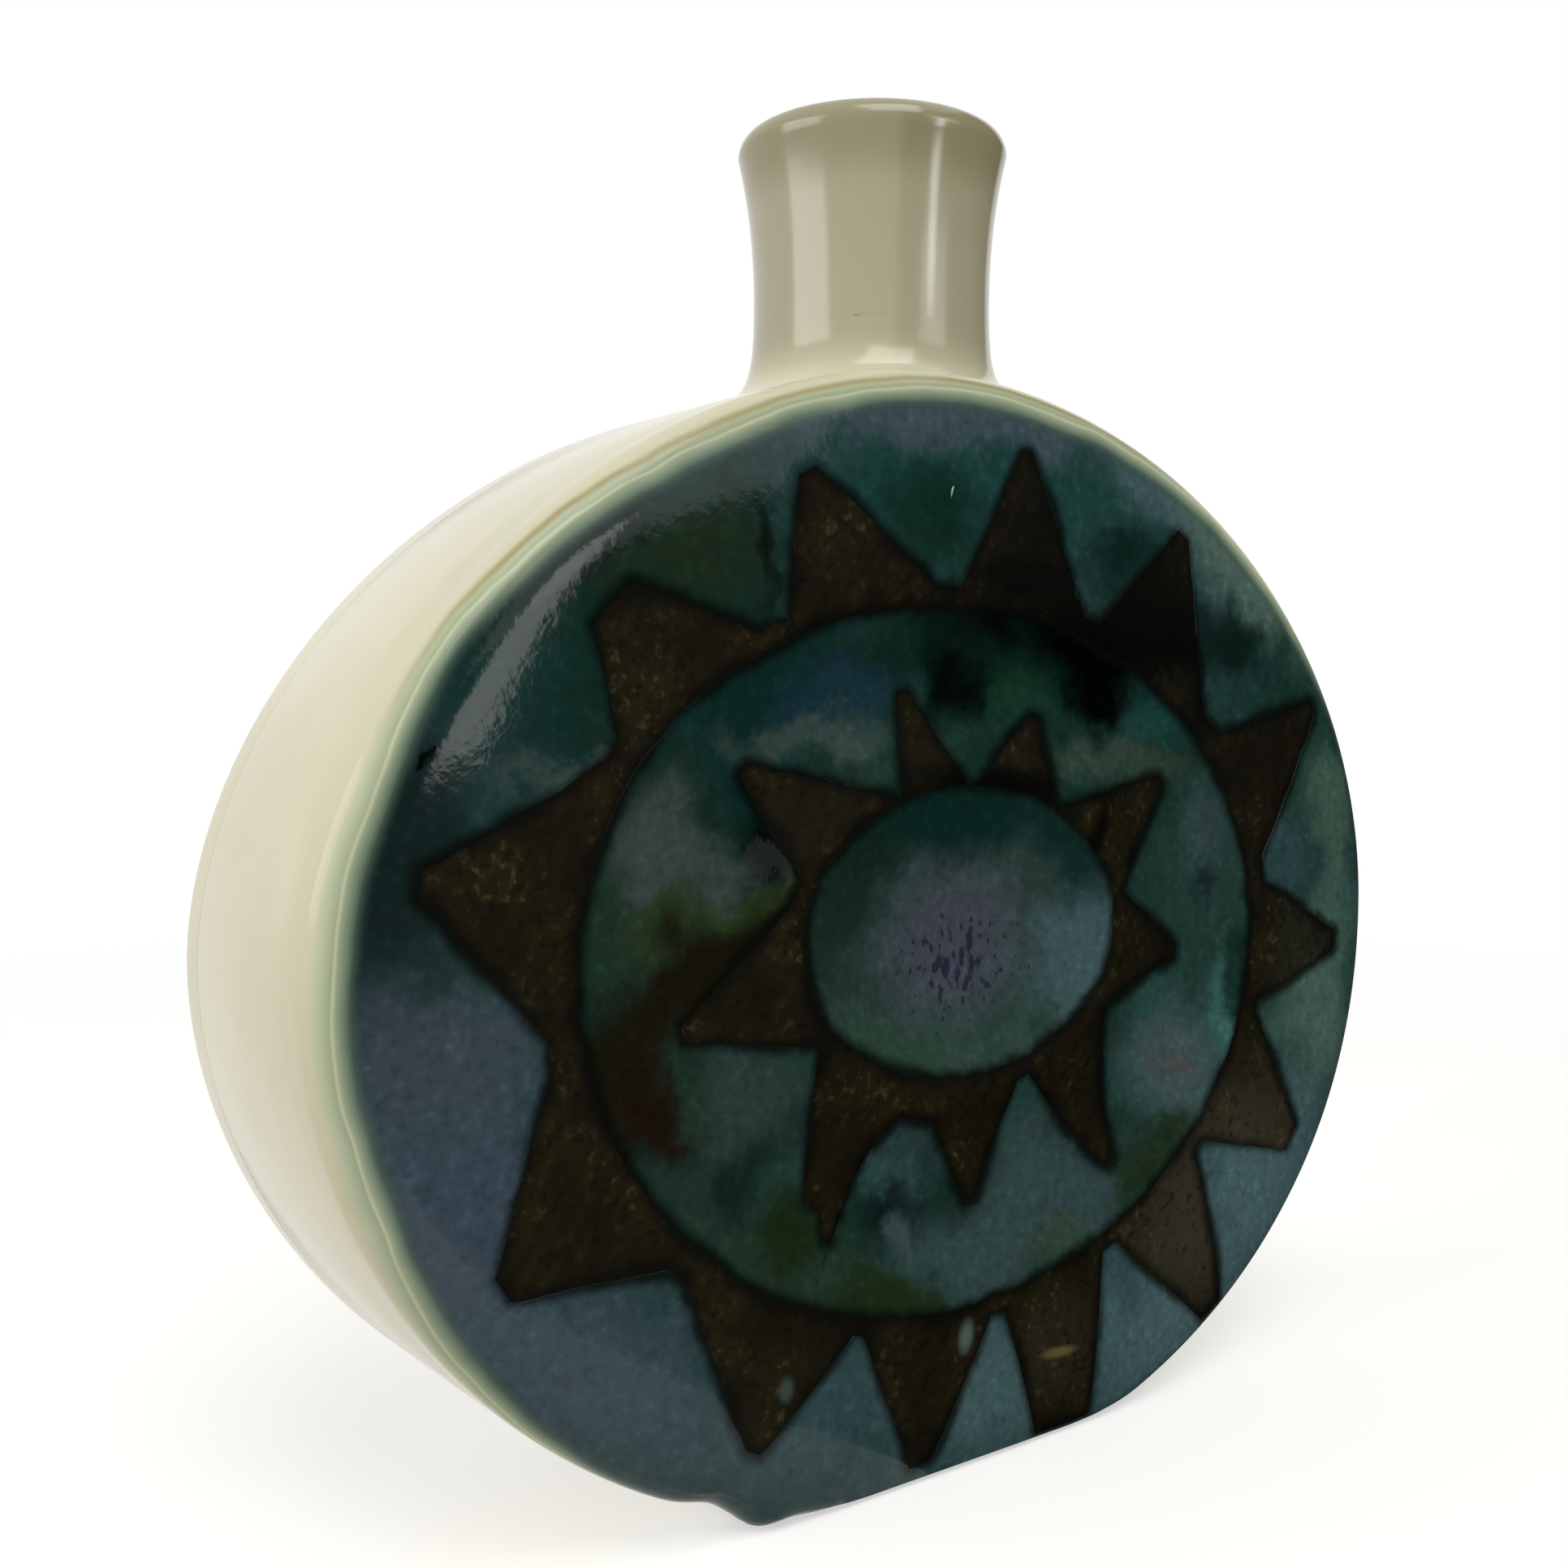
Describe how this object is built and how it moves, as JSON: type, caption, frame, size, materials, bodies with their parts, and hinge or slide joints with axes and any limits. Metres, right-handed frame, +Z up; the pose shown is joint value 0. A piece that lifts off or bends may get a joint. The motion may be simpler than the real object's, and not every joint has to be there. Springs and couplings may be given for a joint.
{
  "type": "perfume bottle vase",
  "caption": "Upright oval stoneware flask with a flat base, a short waisted neck and a glazed face in low relief with sunburst rings, for a flower stem or scent.",
  "frame": {"origin": "middle of the flat base, half way between the face and the back", "axes": "+Z up along the neck, -Y out of the decorated face, +X to the right seen from the front"},
  "size_m": [0.1264, 0.03, 0.1272],
  "materials": {
    "cream_glaze": "glossy cream glaze",
    "brown_stoneware": "bare dark brown clay",
    "lavender_glaze": "glossy lavender grey glaze",
    "teal_glaze": "glossy teal glaze",
    "slate_glaze": "glossy slate blue glaze"
  },
  "bodies": {
    "root": {"side_wall": "cream_glaze", "front_disc": "brown_stoneware", "back_disc": "cream_glaze", "neck": "cream_glaze", "neck_coil": "cream_glaze", "pool_glaze": "lavender_glaze", "ring_glaze": "teal_glaze", "margin_glaze": "slate_glaze"}
  },
  "joints": []
}
